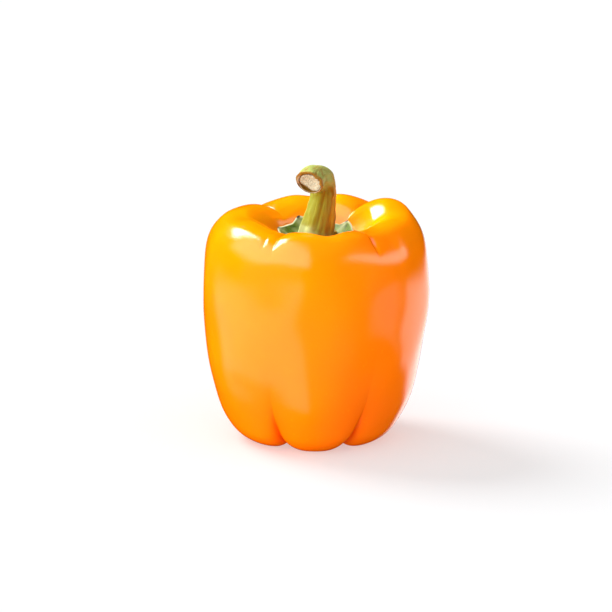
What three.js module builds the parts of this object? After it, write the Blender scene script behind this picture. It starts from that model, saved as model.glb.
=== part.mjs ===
// A whole bell pepper standing on its blossom end: four-lobed fruit, seven-cornered calyx sunk in
// the well of the crown, ribbed stem hooked forward, and the pale pith in the stem's cut end.
// Millimetres, +Z up, the front faces -Y. Azimuths are degrees from the front, positive to the right.
import * as THREE from 'three';

// Profile of the fruit from the blossom end up the outside, over the crest and down into the well.
// Two lines are given, one along the middle of a lobe and one along the groove between two lobes,
// each as radius and height. full: how full the lobe stays towards its groove. crease: 1 for a
// sharp crease in the groove, 0 for a soft hollow. dip: radius and height of the dip in mid-lobe.
const PROFILE = [
  { name: 'blossom', mid: [0, 8], gap: [0, 8], full: 2.0, crease: 0.0, dip: [0, 0] },
  { name: 'dimple', mid: [7, 6], gap: [6, 7.6], full: 2.0, crease: 0.4, dip: [0, 0] },
  { name: 'toe', mid: [15, 1.2], gap: [12.5, 6.2], full: 2.6, crease: 0.8, dip: [0, 0] },
  { name: 'foot', mid: [23.5, -0.5], gap: [20, 4.8], full: 3.0, crease: 1.0, dip: [0, 0] },
  { name: 'heel', mid: [32, 4.8], gap: [28.5, 8.2], full: 2.8, crease: 1.0, dip: [0, 0] },
  { name: 'low', mid: [38.6, 18], gap: [36.6, 19.4], full: 2.2, crease: 0.5, dip: [0, 0] },
  { name: 'belly', mid: [42.6, 38], gap: [42, 38.3], full: 2.0, crease: 0.1, dip: [0, 0] },
  { name: 'flank', mid: [44, 60], gap: [43.5, 59.8], full: 2.0, crease: 0.1, dip: [0, 0] },
  { name: 'shoulder', mid: [42, 77.1], gap: [41.1, 76], full: 2.1, crease: 0.15, dip: [0, 0] },
  { name: 'brow', mid: [36, 85.9], gap: [33.6, 83.7], full: 2.4, crease: 0.55, dip: [-0.6, -1.2] },
  { name: 'crest', mid: [27.4, 88.7], gap: [24.5, 84.7], full: 2.3, crease: 0.6, dip: [-0.6, -3.1] },
  { name: 'inner', mid: [21.4, 85.8], gap: [18.3, 82.4], full: 2.2, crease: 0.25, dip: [0, -2.6] },
  { name: 'wall', mid: [15.5, 79.8], gap: [14.5, 77.6], full: 2.0, crease: 0.3, dip: [0, -1] },
  { name: 'floor', mid: [8.5, 76.5], gap: [8.2, 76], full: 2.0, crease: 0.0, dip: [0, 0] },
  { name: 'socket', mid: [0, 75.5], gap: [0, 75.5], full: 2.0, crease: 0.0, dip: [0, 0] },
];
const CREASE_WIDTH = 0.06; // rounding of a crease, as a share of half a lobe

// Azimuth of each groove at five evenly spaced places along the profile, and its depth at eight.
const GROOVES = [
  { name: 'front left', azimuth: [-27, -28, -25, -27, -30], depth: [1, 1, 1, 1, 0.95, 1.1, 0.4, 0] },
  { name: 'front right', azimuth: [28, 29, 36, 41, 43], depth: [1, 1, 1, 1, 1.25, 1.1, 0.65, 0] },
  { name: 'back right', azimuth: [128, 128, 132, 136, 136], depth: [1, 1, 1, 1, 1.1, 1.1, 0.9, 0] },
  { name: 'back left', azimuth: [228, 228, 224, 222, 221], depth: [1, 1, 1, 1, 1.25, 1.1, 1, 0] },
];

// Each lobe lies between its own groove and the next. The reaches scale its radius at the foot, at the
// crown and inside the crest, lift raises its crest, and lean lifts the crest's later half over its
// first. footFull makes the foot fuller. dent, dentAt, dentWidth: the dip in the middle.
const LOBES = [
  { name: 'front', footReach: 1.02, crownReach: 0.973, wellReach: 1.08, footFull: 0.85 },
  { name: 'right', footReach: 0.96, crownReach: 1.008, wellReach: 1.08, footFull: 1.6 },
  { name: 'back', footReach: 1, crownReach: 0.997, wellReach: 1.04, footFull: 1 },
  { name: 'left', footReach: 1, crownReach: 0.983, wellReach: 1.04, footFull: 1.6 },
];
const CRESTS = [
  { name: 'front', lift: -1.8, lean: 0.1, dent: 0.55, dentAt: 0.07, dentWidth: 0.32 },
  { name: 'right', lift: 2.1, lean: 2.1, dent: 1.1, dentAt: -0.03, dentWidth: 0.33 },
  { name: 'back', lift: 2.5, lean: -0.4, dent: 0.9, dentAt: -0.02, dentWidth: 0.34 },
  { name: 'left', lift: 0.9, lean: -0.7, dent: 0.7, dentAt: 0.02, dentWidth: 0.31 },
];
const LIFT_START = 45; // height from which the crests lift
const LIFT_RANGE = 40;
const WELL_RADIUS = 8; // the lift ends at this radius in the well
const WELL_RANGE = 14;
const AXIS = [-0.1, -0.3]; // the fruit's own axis, seen from the middle of its outline

const FRUIT_COLUMNS = 20; // mesh columns in each lobe
const FRUIT_ROWS = 42;

// Calyx: corners at these azimuths, nearly straight edges between them, lying on the well with a gap.
const CALYX_CORNERS = [-152, -98, -30, 30, 76, 122, 165];
const CALYX_CORNER_RADIUS = 13.3;
const CALYX_CURL = [4.2, 1.3, 0.8, 0.8, 1.2, 2.6, 1.4]; // lift of each corner off the fruit
const CALYX_BOW = 0.7; // 0: straight edges, 1: a round rim
const CALYX_TIP = 0.6; // how far the dry tip of a corner reaches past the edges
const CALYX_TIP_WIDTH = 9; // degrees
const CALYX_GAP = 0.4;
const CALYX_THICK = 1.4; // near the stem
const CALYX_RIM = 1.1; // thickness at the edge
const CALYX_SEAT = 78.9; // height of the flat seat under the stem
const CALYX_HINGE = 0.857; // place on the fruit's profile that gives a column its azimuth
const CALYX_COLUMNS = 15;
const CALYX_ROWS = 7;
// Two places on the fruit's profile, floor and wall, with their radii: the edge lies between them.
const FLOOR_PLACE = 13 / 14;
const WALL_PLACE = 12 / 14;
const FLOOR_RADIUS = 8.5;
const WALL_RADIUS = 15;
const STEP = 0.004; // small step along a curve, for its slope

// Centre line and radius of the stem from its flared foot to the cut end.
const STEM = [
  { at: [0.7, 0, 79.2], radius: 7.3 },
  { at: [0.7, 0, 80.6], radius: 6.9 },
  { at: [1.3, 0.1, 83], radius: 6.5 },
  { at: [2.3, 0.2, 88], radius: 5.8 },
  { at: [3, 0.1, 93], radius: 5.2 },
  { at: [3.3, -0.9, 97.6], radius: 4.9 },
  { at: [2.9, -3.2, 101.1], radius: 4.8 },
  { at: [1.2, -6.4, 103], radius: 4.8 },
  { at: [-0.9, -9.8, 103.4], radius: 5.1 },
  { at: [-2.3, -13.3, 102.3], radius: 5.5 },
];
const STEM_ACROSS = [0.94, -0.34, 0]; // level direction across the stem
const STEM_RIBS = 5;
const STEM_RIB = 0.05; // height of a rib as a share of the radius
const RIB_END = 0.65; // place along the stem from which the ribs fade towards the cut
const CUT_SLANT = 15; // degrees that the cut faces further down than square to the stem
const CUT_START = 0.74; // place along the stem from which the slant builds up
const STEM_AROUND = 30;
const STEM_ROWS = 24;
const BARK = 1.1; // wall round the pith
const BARK_TOP = 0.5; // how much thicker the wall is on top, and thinner below
const CUT_DEPTH = 1.8; // depth of the recess in the cut end
const PITH_GAP = 0.3;
const PITH_FACE = 0.5; // depth of the pith's edge, of a ring further in, and of its middle
const PITH_INNER = 0.8;
const PITH_MIDDLE = 1.1;
const PITH_INSET = 1.2; // how far that ring lies in from the edge

const skin = new THREE.MeshStandardMaterial({ color: 0xff8c00, roughness: 0.22, metalness: 0 });
const leaf = new THREE.MeshStandardMaterial({ color: 0x6f8f45, roughness: 0.6, metalness: 0 });
const bark = new THREE.MeshStandardMaterial({ color: 0x9c9a2e, roughness: 0.55, metalness: 0 });
const pith = new THREE.MeshStandardMaterial({ color: 0xe6d7be, roughness: 0.9, metalness: 0 });

const radians = THREE.MathUtils.degToRad;
const clamp = THREE.MathUtils.clamp;

// Smooth curve through evenly spaced values, t from 0 to 1.
function spline(values, t) {
  const last = values.length - 1;
  const place = t * last;
  const i = clamp(Math.floor(place), 0, last - 1);
  const w = place - i;
  const before = values[Math.max(i - 1, 0)];
  const here = values[i];
  const next = values[i + 1];
  const after = values[Math.min(i + 2, last)];
  const slope = (next - before) / 2;
  const nextSlope = (after - here) / 2;
  const cubic = 2 * here - 2 * next + slope + nextSlope;
  const square = -3 * here + 3 * next - 2 * slope - nextSlope;
  return cubic * w ** 3 + square * w ** 2 + slope * w + here;
}

const column = (rows, key) => rows.map((row) => row[key]);

// 0 below low, 1 above high, and smooth between them; low may be the higher of the two.
function smooth(low, high, value) {
  const t = clamp((value - low) / (high - low), 0, 1);
  return t * t * (3 - 2 * t);
}

// Point of the fruit's skin. lobe: 0 to 3; x: -1 to 1 across the lobe from groove to groove;
// s: 0 at the blossom end, 1 in the socket under the calyx.
function skinPoint(lobe, x, s) {
  const at = (key) => spline(column(PROFILE, key), s);
  const [midR, midZ] = [0, 1].map((i) => spline(PROFILE.map((row) => row.mid[i]), s));
  const [gapR, gapZ] = [0, 1].map((i) => spline(PROFILE.map((row) => row.gap[i]), s));
  const [dipR, dipZ] = [0, 1].map((i) => spline(PROFILE.map((row) => row.dip[i]), s));
  const crown = smooth(0.2, 0.6, s);
  const own = LOBES[lobe];
  const ownCrest = CRESTS[lobe];
  const side = x > 0 ? 1 : 3;
  const beside = (lobe + side) % 4;
  const groove = GROOVES[x > 0 ? (lobe + 1) % 4 : lobe];

  const start = spline(GROOVES[lobe].azimuth, s);
  const end = spline(GROOVES[(lobe + 1) % 4].azimuth, s) + (lobe === 3 ? 360 : 0);
  const azimuth = radians((start + end) / 2 + ((end - start) / 2) * x);

  // 0 in the groove to 1 in mid-lobe, with the very bottom of the groove rounded
  const e = CREASE_WIDTH;
  const t = (Math.hypot(1 - Math.abs(x), e) - e) / (Math.hypot(1, e) - e);
  const full = clamp(at('full') * (1 + (own.footFull - 1) * (1 - crown)), 1.5, 5);
  const sharp = 1 - (1 - clamp(1 - t, 0, 1) ** full) ** (1 / full);
  const soft = (1 - Math.cos(Math.PI * x)) / 2;
  const crease = clamp(at('crease'), 0, 1);
  const inGroove = (crease * sharp + (1 - crease) * soft) * spline(groove.depth, s);

  let r = midR + (gapR - midR) * inGroove;
  let z = midZ + (gapZ - midZ) * inGroove;

  // reach and lift pass smoothly from one lobe to the next
  const share = soft ** 2 / 2;
  const blend = (rows, key) => rows[lobe][key] * (1 - share) + rows[beside][key] * share;
  r *= blend(LOBES, 'footReach') * (1 - crown) + blend(LOBES, 'crownReach') * crown;
  const inside = smooth(0.6, 0.74, s) * smooth(1, 0.86, s);
  r *= 1 + (blend(LOBES, 'wellReach') - 1) * inside;
  const dent = ownCrest.dent * Math.exp(-(((x - ownCrest.dentAt) / ownCrest.dentWidth) ** 2));
  r += dipR * dent;
  const lift = blend(CRESTS, 'lift') + ownCrest.lean * Math.sin(Math.PI * x);
  const high = clamp((z - LIFT_START) / LIFT_RANGE, 0, 1) ** 1.5;
  const out = clamp((r - WELL_RADIUS) / WELL_RANGE, 0, 1);
  z += dipZ * dent + lift * high * out;

  // the feet stand flat on the ground
  const height = Math.max(z, 0);
  return new THREE.Vector3(r * Math.sin(azimuth) + AXIS[0], -r * Math.cos(azimuth) + AXIS[1], height);
}

// Columns round the fruit, closer together near the grooves.
function columnsRound(perLobe) {
  const places = [];
  for (let lobe = 0; lobe < 4; lobe += 1) {
    for (let j = 0; j < perLobe; j += 1) {
      const even = j / perLobe;
      const bunched = (1 - Math.cos(Math.PI * even)) / 2;
      places.push({ lobe, x: even + bunched - 1 });
    }
  }
  return places;
}

// Closed surface through rings of points, each ring counter-clockwise seen from above or from the
// front end, with a point closing the first ring and a point closing the last.
function loft(first, rings, last) {
  const count = rings[0].length;
  const points = [first, ...rings.flat(), last];
  const index = [];
  const id = (ring, j) => 1 + ring * count + (j % count);
  for (let j = 0; j < count; j += 1) {
    index.push(0, id(0, j + 1), id(0, j));
    for (let ring = 0; ring < rings.length - 1; ring += 1) {
      index.push(id(ring, j), id(ring, j + 1), id(ring + 1, j + 1));
      index.push(id(ring, j), id(ring + 1, j + 1), id(ring + 1, j));
    }
    index.push(id(rings.length - 1, j), id(rings.length - 1, j + 1), points.length - 1);
  }
  const geometry = new THREE.BufferGeometry().setFromPoints(points);
  geometry.setIndex(index);
  geometry.computeVertexNormals();
  return geometry;
}

function makeFruit() {
  const columns = columnsRound(FRUIT_COLUMNS);
  const rings = [];
  for (let row = 1; row < FRUIT_ROWS; row += 1) {
    rings.push(columns.map(({ lobe, x }) => skinPoint(lobe, x, row / FRUIT_ROWS)));
  }
  return loft(skinPoint(0, 0, 0), rings, skinPoint(0, 0, 1));
}

// Edge of the calyx at an azimuth: its radius, and how far it curls up off the fruit.
function calyxEdge(azimuth) {
  const count = CALYX_CORNERS.length;
  for (let i = 0; i < count; i += 1) {
    const next = (i + 1) % count;
    const from = CALYX_CORNERS[i];
    const to = CALYX_CORNERS[next] + (i === count - 1 ? 360 : 0);
    const turned = from + ((((azimuth - from) % 360) + 360) % 360);
    if (turned <= to) {
      const flat = CALYX_CORNER_RADIUS * Math.cos(radians((to - from) / 2));
      const straight = flat / Math.cos(radians(turned - (from + to) / 2));
      const near = Math.min(turned - from, to - turned);
      const corner = Math.exp(-((near / CALYX_TIP_WIDTH) ** 2));
      const bowed = THREE.MathUtils.lerp(straight, CALYX_CORNER_RADIUS, CALYX_BOW);
      const share = (turned - from) / (to - from);
      const curl = THREE.MathUtils.lerp(CALYX_CURL[i], CALYX_CURL[next], share);
      return { radius: bowed + CALYX_TIP * corner, curl };
    }
  }
  throw new Error('no edge of the calyx at this azimuth');
}

function makeCalyx() {
  const columns = columnsRound(CALYX_COLUMNS);
  const under = [];
  const over = [];
  for (let row = 1; row <= CALYX_ROWS; row += 1) {
    const u = row / CALYX_ROWS;
    const low = [];
    const high = [];
    columns.forEach(({ lobe, x }) => {
      const outer = skinPoint(lobe, x, CALYX_HINGE);
      const azimuth = THREE.MathUtils.radToDeg(Math.atan2(outer.x, -outer.y));
      const { radius, curl } = calyxEdge(azimuth);
      const share = (radius - FLOOR_RADIUS) / (WALL_RADIUS - FLOOR_RADIUS);
      const edge = THREE.MathUtils.lerp(FLOOR_PLACE, WALL_PLACE, share);
      const s = 1 - u * (1 - edge);
      const skinHere = skinPoint(lobe, x, s);
      const along = skinPoint(lobe, x, s - STEP).sub(skinHere);
      const slope = Math.atan2(along.z, Math.hypot(along.x, along.y));
      const base = skinHere.clone();
      base.z += (CALYX_GAP + curl * u ** 4) / Math.cos(slope);
      const thick = THREE.MathUtils.lerp(CALYX_THICK, CALYX_RIM, u) / Math.cos(slope);
      const top = base.clone();
      top.z = Math.max(base.z + thick, CALYX_SEAT);
      low.push(base);
      high.push(top);
    });
    under.push(low);
    over.unshift(high);
  }
  const centre = skinPoint(0, 0, 1);
  const bottom = centre.clone().setZ(centre.z + CALYX_GAP);
  const top = centre.clone().setZ(CALYX_SEAT);
  return loft(bottom, [...under, ...over], top);
}

// Place along the stem's centre line: point, radius and the two directions across it.
function stemFrame(t) {
  const axis = (i, k) => spline(STEM.map((row) => row.at[i]), k);
  const at = (k) => new THREE.Vector3(axis(0, k), axis(1, k), axis(2, k));
  const point = at(t);
  const along = at(Math.min(t + STEP, 1)).sub(at(Math.max(t - STEP, 0))).normalize();
  // across lies level and turns with the stem; front completes the three directions
  const across = new THREE.Vector3(...STEM_ACROSS);
  across.addScaledVector(along, -across.dot(along)).normalize();
  const front = new THREE.Vector3().crossVectors(across, along);
  return { point, along, across, front, radius: spline(column(STEM, 'radius'), t) };
}

// Ring round the stem, smaller by shrink(turn) and set back by sink. Towards the cut end the ribs
// fade and the ring leans with the cut.
function stemRing(t, shrink, sink) {
  const { point, along, across, front, radius } = stemFrame(t);
  const ribs = STEM_RIB * smooth(1, RIB_END, t);
  const slant = Math.tan(radians(CUT_SLANT)) * smooth(CUT_START, 1, t);
  const ring = [];
  for (let j = 0; j < STEM_AROUND; j += 1) {
    const turn = (2 * Math.PI * j) / STEM_AROUND;
    const r = radius * (1 + ribs * Math.cos(STEM_RIBS * turn)) - shrink(turn);
    ring.push(point.clone()
      .addScaledVector(front, r * Math.cos(turn))
      .addScaledVector(across, r * Math.sin(turn))
      .addScaledVector(along, -sink - r * slant * Math.cos(turn)));
  }
  return ring;
}

const whole = () => 0;
const barkWall = (turn) => BARK - BARK_TOP * Math.cos(turn);

function middleOf(ring) {
  const sum = ring.reduce((total, p) => total.add(p), new THREE.Vector3());
  return sum.divideScalar(ring.length);
}

function makeStem() {
  const rings = [];
  for (let row = 0; row <= STEM_ROWS; row += 1) {
    rings.push(stemRing(row / STEM_ROWS, whole, 0));
  }
  rings.push(stemRing(1, barkWall, 0));
  rings.push(stemRing(1, barkWall, CUT_DEPTH));
  return loft(middleOf(rings[0]), rings, middleOf(rings[rings.length - 1]));
}

// The pith fills the recess to just below the rim and is hollowed towards its middle.
function makePith() {
  const side = (turn) => barkWall(turn) + PITH_GAP;
  const inner = (turn) => side(turn) + PITH_INSET;
  const rings = [
    stemRing(1, side, CUT_DEPTH - PITH_GAP),
    stemRing(1, side, PITH_FACE),
    stemRing(1, inner, PITH_INNER),
  ];
  return loft(middleOf(rings[0]), rings, middleOf(stemRing(1, inner, PITH_MIDDLE)));
}

function named(name, geometry, material) {
  const mesh = new THREE.Mesh(geometry, material);
  mesh.name = name;
  return mesh;
}

const pepper = new THREE.Group();
pepper.name = 'bell_pepper';
pepper.add(named('fruit', makeFruit(), skin));
pepper.add(named('calyx', makeCalyx(), leaf));
pepper.add(named('stem', makeStem(), bark));
pepper.add(named('stem_pith', makePith(), pith));

export default pepper;
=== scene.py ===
"""A whole bell pepper standing on its blossom end: glossy four-lobed fruit, green calyx sunk in the well
of its crown, ribbed stem hooked forward, and the pale pith in the stem's cut end.

Each piece is one surface worked out on a grid of two parameters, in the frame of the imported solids:
+Z up, the front faces -Y, azimuths in degrees from the front and positive to the right. The tables of
the shapes are in millimetres, as the solids were drawn; meshes, lights and camera are in metres.
"""

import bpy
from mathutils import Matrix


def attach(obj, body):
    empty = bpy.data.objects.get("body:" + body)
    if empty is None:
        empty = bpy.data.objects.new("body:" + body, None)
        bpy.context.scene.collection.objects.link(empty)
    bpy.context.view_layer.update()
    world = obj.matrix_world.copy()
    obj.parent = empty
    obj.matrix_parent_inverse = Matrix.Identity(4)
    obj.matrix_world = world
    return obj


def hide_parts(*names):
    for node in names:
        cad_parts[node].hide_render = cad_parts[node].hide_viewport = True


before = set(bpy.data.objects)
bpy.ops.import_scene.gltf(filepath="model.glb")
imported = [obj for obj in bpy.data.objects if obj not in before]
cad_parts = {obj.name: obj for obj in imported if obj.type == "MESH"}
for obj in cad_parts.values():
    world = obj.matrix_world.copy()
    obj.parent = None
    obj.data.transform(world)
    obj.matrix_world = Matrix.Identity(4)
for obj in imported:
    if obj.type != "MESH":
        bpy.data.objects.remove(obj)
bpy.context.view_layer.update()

import bpy
import numpy as np
from mathutils import Vector

MM = 0.001

# Fruit: shape

# Outline from the blossom end up the outside, over the crest and down into the well, once along the
# middle of a lobe and once along the groove between two lobes. Then how full the lobe stays towards
# its groove, how sharp the crease in the groove is (0 to 1), and the dip in the middle of the lobe.
#              mid r  mid z  gap r  gap z  full  crease dip r  dip z
PROFILE = {
    "blossom":  (0.0,   8.0,  0.0,   8.0,  2.0,  0.0,   0.0,   0.0),
    "dimple":   (7.0,   6.0,  6.0,   7.6,  2.0,  0.4,   0.0,   0.0),
    "toe":      (15.0,  1.2, 12.5,   6.2,  2.6,  0.8,   0.0,   0.0),
    "foot":     (23.5, -0.5, 20.0,   4.8,  3.0,  1.0,   0.0,   0.0),
    "heel":     (32.0,  4.8, 28.5,   8.2,  2.8,  1.0,   0.0,   0.0),
    "low":      (38.6, 18.0, 36.6,  19.4,  2.2,  0.5,   0.0,   0.0),
    "belly":    (42.6, 38.0, 42.0,  38.3,  2.0,  0.1,   0.0,   0.0),
    "flank":    (44.0, 60.0, 43.5,  59.8,  2.0,  0.1,   0.0,   0.0),
    "shoulder": (42.0, 77.1, 41.1,  76.0,  2.1,  0.15,  0.0,   0.0),
    "brow":     (36.0, 85.9, 33.6,  83.7,  2.4,  0.55, -0.6,  -1.2),
    "crest":    (27.4, 88.7, 24.5,  84.7,  2.3,  0.6,  -0.6,  -3.1),
    "inner":    (21.4, 85.8, 18.3,  82.4,  2.2,  0.25,  0.0,  -2.6),
    "wall":     (15.5, 79.8, 14.5,  77.6,  2.0,  0.3,   0.0,  -1.0),
    "floor":    (8.5,  76.5,  8.2,  76.0,  2.0,  0.0,   0.0,   0.0),
    "socket":   (0.0,  75.5,  0.0,  75.5,  2.0,  0.0,   0.0,   0.0),
}
CREASE_WIDTH = 0.06         # rounding of a crease, as a share of half a lobe
FULL_LIMITS = (1.5, 5.0)    # least and most that a lobe's fullness may be

# Azimuth of each groove at five evenly spaced places along the profile.
GROOVE_AZIMUTH = {
    "front left":  (-27, -28, -25, -27, -30),
    "front right": (28, 29, 36, 41, 43),
    "back right":  (128, 128, 132, 136, 136),
    "back left":   (228, 228, 224, 222, 221),
}
# Depth of each groove as a share of the profile's, at eight evenly spaced places along it.
GROOVE_DEPTH = np.array([
    (1, 1, 1, 1, 0.95, 1.1, 0.4, 0),
    (1, 1, 1, 1, 1.25, 1.1, 0.65, 0),
    (1, 1, 1, 1, 1.1, 1.1, 0.9, 0),
    (1, 1, 1, 1, 1.25, 1.1, 1, 0),
])
# Fine creases on the crown: groove that one lies by, half-lobes beside it (positive to the right),
# place on the profile and half length along it, half width and depth in mm.
CREASES = [
    (0, -0.13, 0.632, 0.025, 0.45, 0.32),
    (1, 0.0, 0.625, 0.024, 0.8, 1.0),
    (1, 0.27, 0.60, 0.07, 3.5, 0.5),
]

# The lobes front, right, back and left, each between its own groove and the next.
FOOT_REACH = np.array([1.02, 0.96, 1.0, 1.0])      # scale of the radius at the feet
CROWN_REACH = np.array([0.973, 1.008, 0.997, 0.983])    # scale of the radius at the crown
WELL_REACH = np.array([1.08, 1.08, 1.04, 1.04])    # scale of the radius inside the crest
LIFT = np.array([-1.8, 2.1, 2.5, 0.9])             # lift of the crest
LEAN = np.array([0.1, 2.1, -0.4, -0.7])            # lift of the crest's later half over its first
DENT = np.array([0.55, 1.1, 0.9, 0.7])             # depth of the dip in mid-lobe
DENT_AT = np.array([0.07, -0.03, -0.02, 0.02])     # its place across the lobe (-1 to 1)
DENT_WIDTH = np.array([0.32, 0.33, 0.34, 0.31])    # its width, as a share of half a lobe
FOOT_FULL = np.array([0.85, 1.6, 1.0, 1.6])        # fullness of the foot
AXIS = np.array([-0.1, -0.3])                      # the fruit's own axis, from the outline's middle
# Places on the profile between which a reach sets in or fades.
CROWN_IN = (0.2, 0.6)
WELL_IN = (0.6, 0.74)
WELL_OUT = (1.0, 0.86)
# The crests lift from this height on, less and less from the outer radius to the inner one.
LIFT_START = 45.0
LIFT_RANGE = 40.0
LIFT_POWER = 1.5
LIFT_RADIUS = 8.0
LIFT_FADE = 14.0
FOLD_SINK = 0.7             # share of a fine crease's depth that goes inwards; as much goes down
FOLD_PEAK = 1.5             # 1: a sharp notch across a fine crease, 2: a round one

FRUIT_COLUMNS = 76          # in each lobe
FRUIT_ROWS = 300
UNDULATION = 0.22           # mm, uneven swelling of the flesh
UNDULATION_LENGTH = 26.0    # mm, from swell to swell
SWELL_IN = (1, 12)          # mm, heights over which it sets in
SWELL_OUT = (0.86, 0.78)    # places on the profile over which it dies out towards the calyx
SWELL_CALM = 0.7            # share of it that a crease takes away

# Calyx: shape

CALYX_CORNERS = np.array([-152.0, -98, -30, 30, 76, 122, 165, 208])    # the last closes the round
CALYX_CORNER_RADIUS = 13.3
CALYX_BOW = 0.7             # 0: straight edges between the corners, 1: a round rim
CALYX_TIP = 0.6             # reach of a corner's dry tip past the edges
CALYX_TIP_WIDTH = 9.0       # degrees
CALYX_GAP = 0.4             # mm, to the skin below it
CALYX_THICK = 1.4           # near the stem
CALYX_RIM = 1.1             # at the edge
# Lift of each corner off the fruit, and the power of the way out with which it sets in.
CALYX_CURL = np.array([4.2, 1.3, 0.8, 0.8, 1.2, 2.6, 1.4, 4.2])
CURL_POWER = 4
CALYX_SEAT = 78.9           # height of the flat seat under the stem
CALYX_HINGE = 0.857         # place on the fruit's profile that gives a column its azimuth
CALYX_COLUMNS = 48          # in each quarter
CALYX_ROWS = 26
VEIN = 0.35                 # height of the vein that runs to each corner
VEIN_WIDTH = 7.0            # degrees
TIP_POWERS = (10, 3)        # how closely the dry tip keeps to the edge, and to the corner
CALYX_UNEVEN = 0.12         # height and length of the bumps on its top
CALYX_UNEVEN_LENGTH = 5.0
CALYX_BEVEL = 0.55          # share of its thickness that the very edge loses
# Two places on the fruit's profile, floor and wall, with their radii: the edge lies between them.
FLOOR_PLACE = 13 / 14
WALL_PLACE = 12 / 14
FLOOR_RADIUS = 8.5
WALL_RADIUS = 15.0
STEP = 0.004                # small step along a curve, for its slope

# Stem and pith: shape

# Centre line and radius from the flared foot to the cut end.
#        x     y      z     radius
STEM = np.array([
    (0.7,  0.0,  79.2, 7.3),
    (0.7,  0.0,  80.6, 6.9),
    (1.3,  0.1,  83.0, 6.5),
    (2.3,  0.2,  88.0, 5.8),
    (3.0,  0.1,  93.0, 5.2),
    (3.3, -0.9,  97.6, 4.9),
    (2.9, -3.2, 101.1, 4.8),
    (1.2, -6.4, 103.0, 4.8),
    (-0.9, -9.8, 103.4, 5.1),
    (-2.3, -13.3, 102.3, 5.5),
])
STEM_ACROSS = np.array([0.94, -0.34, 0.0])         # level direction across the stem
STEM_RIBS = 5
STEM_RIB = 0.05             # height of a rib as a share of the radius
RIB_END = 0.65              # place along the stem from which the ribs fade towards the cut
CUT_SLANT = 15.0            # degrees that the cut faces further down than square to the stem
CUT_START = 0.74            # place along the stem from which the slant builds up
STEM_FLARE = 1.2            # mm, spread of the ribs onto the calyx
STEM_FLARE_SHARE = 0.06     # length of that spread as a share of the stem
FLARE_POWER = 1.4           # 1: it fades at once, 2: it stays wide for a while
FLARE_EVEN = 0.65           # share of the spread that runs all round; the rest is on the ribs
STEM_WRINKLE = 0.16         # mm, depth of the wrinkles along it
WRINKLE_LENGTH = 2.6        # mm, from wrinkle to wrinkle round the stem
WRINKLE_STRETCH = 0.16      # how much more slowly they change along it
WRINKLE_OUT = (0.85, 0.55)  # places along it over which they die out towards the cut
STEM_UNEVEN = 0.1           # mm
STEM_UNEVEN_LENGTH = 4.0    # mm
GRAIN_RADIUS = 5            # mm, of the even stem on which the grain is laid out
STEM_AROUND = 150
STEM_ROWS = 190
BARK = 1.1                  # mm, wall round the pith
BARK_TOP = 0.5              # mm, how much thicker the wall is on top, and thinner below
CUT_DEPTH = 1.8             # mm, depth of the recess in the cut end
CUT_ROUND = 0.28            # mm, rounding of the outer edge of the cut
CUT_ROUND_START = 0.985     # place along the stem from which it rounds
LOW_TURN = 0.6              # radians, turn of the mark for the cut's lower side
SIDE_TURN = 20              # degrees, turn of the mark for the stem's right side
RIM_WITHIN = (0.6, 1, 0.5, 0)    # how far the rim's rings count as its pale inner edge
RIM_RAG = 0.2               # mm, unevenness of the rim, and its length
RIM_RAG_LENGTH = 3.0
RIM_IN = 0.3                # mm, way in to the rim's crown, and the crown's height
RIM_HEIGHT = 0.1
RIM_LIP = 0.15              # mm, overhang of the rim's inner edge, and the depth where it ends
RIM_LIP_DEPTH = 0.5
RIM_CLEAR = 0.05            # mm, how much wider the recess is than the wall leaves
PITH_GAP = 0.25             # mm, to the bark
PITH_CRACK = 0.7            # mm, shrinkage crack between pith and bark
PITH_CRACK_TURN = -36.0     # degrees round the cut from its lowest point
PITH_CRACK_WIDTH = 36.0
PITH_HOLLOW = 1.0           # mm, dip of the pith's face
PITH_RINGS = 22
PITH_FACE = 0.35            # mm, depth of the face below the rim
PITH_BEVEL = 0.25           # mm, how much deeper its rounded edge lies
PITH_FLOOR = 0.15           # mm, gap under the plug
CRACK_DEPTH = 0.9           # mm, how far the face sinks at the crack
CRACK_POWER = 6             # power of the way out with which it sinks
FIBRE = 0.07                # mm, height of the fibres, and their length across
FIBRE_LENGTH = 0.9
FIBRE_STRETCH = 0.2         # how much more slowly they change from front to back

# Camera, lights and floor

LOOK_AT = Vector((-0.0035, 0.0013, 0.0509))
CAMERA_DISTANCE = 1.4
CAMERA_ELEVATION = 13.0
VIEW_WIDTH = 0.2370         # width of the picture at LOOK_AT
SENSOR = 36.0

# Broad soft lights for the matt part of the shading: azimuth, elevation, strength, spread in degrees.
FRUIT_SUNS = {
    "key_behind_left": (-143.0, 42.0, 7.6, 38.0),
    "fill_front_left": (-50.0, 10.0, 6.2, 60.0),
    "fill_right": (80.0, 8.0, 1.6, 60.0),
}
FLOOR_SUNS = {
    "floor_key": (-128.0, 42.0, 2.0, 30.0),
    "floor_fill": (0.0, 60.0, 0.8, 90.0),
}
AMBIENT = 0.4
DARK_REFLECTION = 0.0       # what the gloss mirrors between the cards
FLOOR_GLOW = 0.45           # light that the floor gives off by itself, so that contacts stay light

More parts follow.
